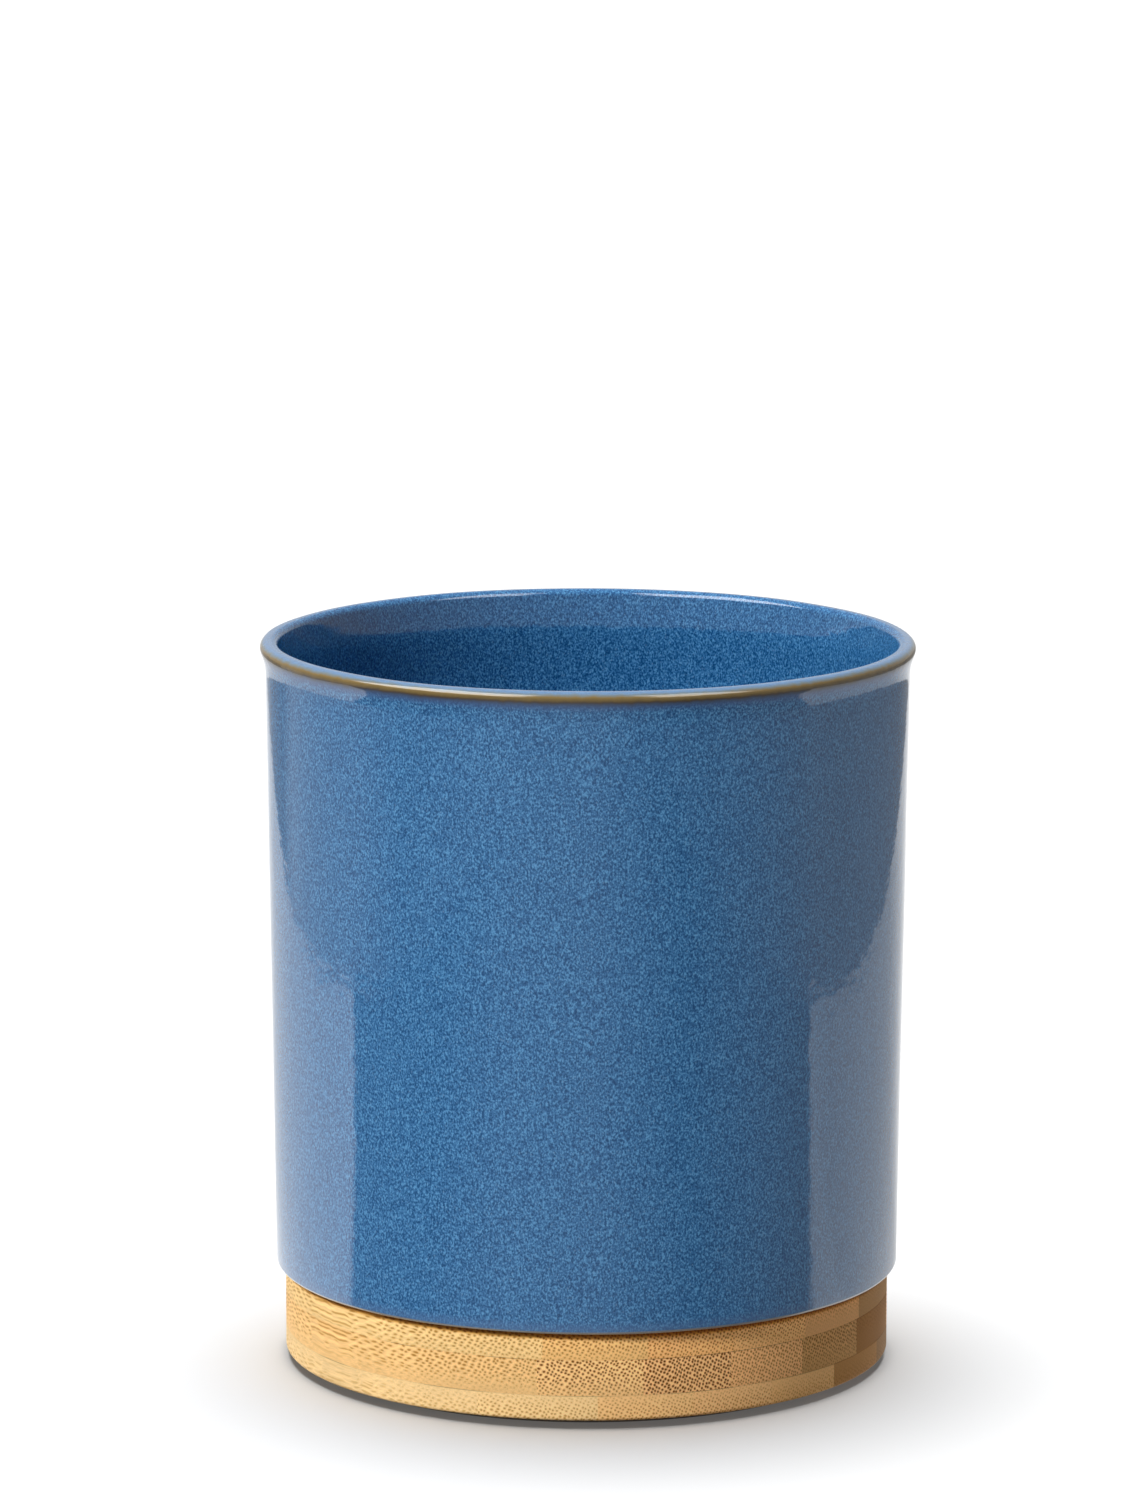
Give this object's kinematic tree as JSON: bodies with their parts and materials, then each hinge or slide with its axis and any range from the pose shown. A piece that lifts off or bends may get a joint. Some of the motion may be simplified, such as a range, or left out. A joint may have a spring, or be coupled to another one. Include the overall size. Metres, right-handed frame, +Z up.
{
  "type": "utensil crock",
  "caption": "Straight-sided glazed stoneware kitchen crock with a flared rounded lip, standing in a shallow seat on a laminated bamboo disc base with a non-slip pad beneath.",
  "frame": {"origin": "centre of the non-slip pad's underside, on the surface that the crock stands on", "axes": "+Z up along the axis of the crock, +Y from the front of the picture to the back, +X to the right in the picture, with the strips of bamboo 33 degrees from Y, towards the front right"},
  "size_m": [0.1642, 0.1642, 0.183],
  "materials": {
    "glaze": "glossy speckled reactive glaze over stoneware, breaking to ochre at the lip, with a bare clay foot ring",
    "bamboo": "sanded and oiled laminated bamboo, honey coloured, with end grain to the front and back",
    "pad": "matt warm grey rubber"
  },
  "bodies": {
    "base": {"base_top_ply": "bamboo", "base_core_ply": "bamboo", "base_bottom_ply": "bamboo", "non_slip_pad": "pad"},
    "crock": {"crock_body": "glaze"}
  },
  "joints": [
    {"name": "crock_lift", "type": "slide", "parent": "base", "child": "crock", "axis": [0, 0, 1], "range_m": [0, 0.06]}
  ]
}
